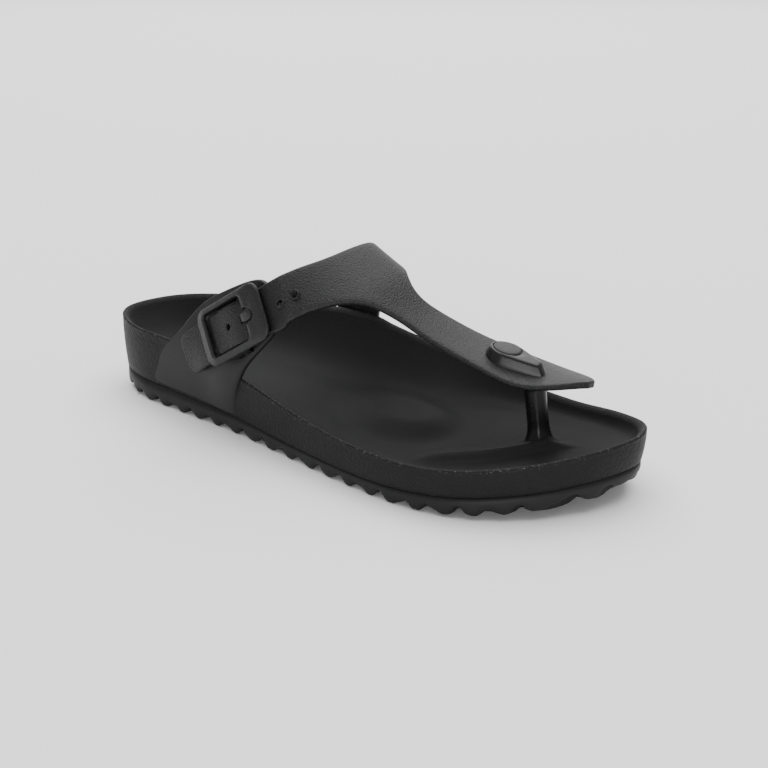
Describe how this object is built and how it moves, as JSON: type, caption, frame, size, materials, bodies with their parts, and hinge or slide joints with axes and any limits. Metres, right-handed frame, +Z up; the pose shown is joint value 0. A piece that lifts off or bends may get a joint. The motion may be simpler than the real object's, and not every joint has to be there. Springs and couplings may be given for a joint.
{
  "type": "thong sandal",
  "caption": "Right-foot thong sandal: contoured foam footbed on a lugged sole, T-shaped strap with a toe post, and a pin buckle at the outer side.",
  "frame": {"origin": "centre of the bounding box in plan, at the ground under the tread", "axes": "+X towards the toe, +Y towards the wearer's left (the big-toe side), +Z up"},
  "size_m": [0.2566, 0.095, 0.0849],
  "materials": {
    "footbed_foam": "fine matte grain",
    "tread_foam": "smooth matte",
    "quarter_foam": "smooth satin",
    "strap_foam": "leather-grained satin",
    "post_foam": "smooth satin",
    "anchor_plastic": "matte",
    "head_plastic": "satin",
    "cap_plastic": "satin",
    "frame_plastic": "fine grained satin",
    "prong_plastic": "satin",
    "axle_steel": "plain"
  },
  "bodies": {
    "sandal": {"footbed": "footbed_foam", "outsole": "tread_foam", "lateral_quarter": "quarter_foam", "upper_strap": "strap_foam", "toe_post": "post_foam", "toe_post_anchor": "anchor_plastic", "toe_post_head": "head_plastic", "toe_post_cap": "cap_plastic"},
    "frame": {"buckle_frame": "frame_plastic", "buckle_axle": "axle_steel"},
    "prong": {"buckle_prong": "prong_plastic"}
  },
  "joints": [
    {"name": "frame_rock", "type": "hinge", "parent": "sandal", "child": "frame", "pos_m": [-0.03682, -0.0314, 0.05056], "axis": [0.5244, -0.2179, -0.8231], "range_deg": [-1.2, 1.2]},
    {"name": "prong_lift", "type": "hinge", "parent": "frame", "child": "prong", "pos_m": [-0.03682, -0.0314, 0.05056], "axis": [0.5244, -0.2179, -0.8231], "range_deg": [0, 8]}
  ]
}
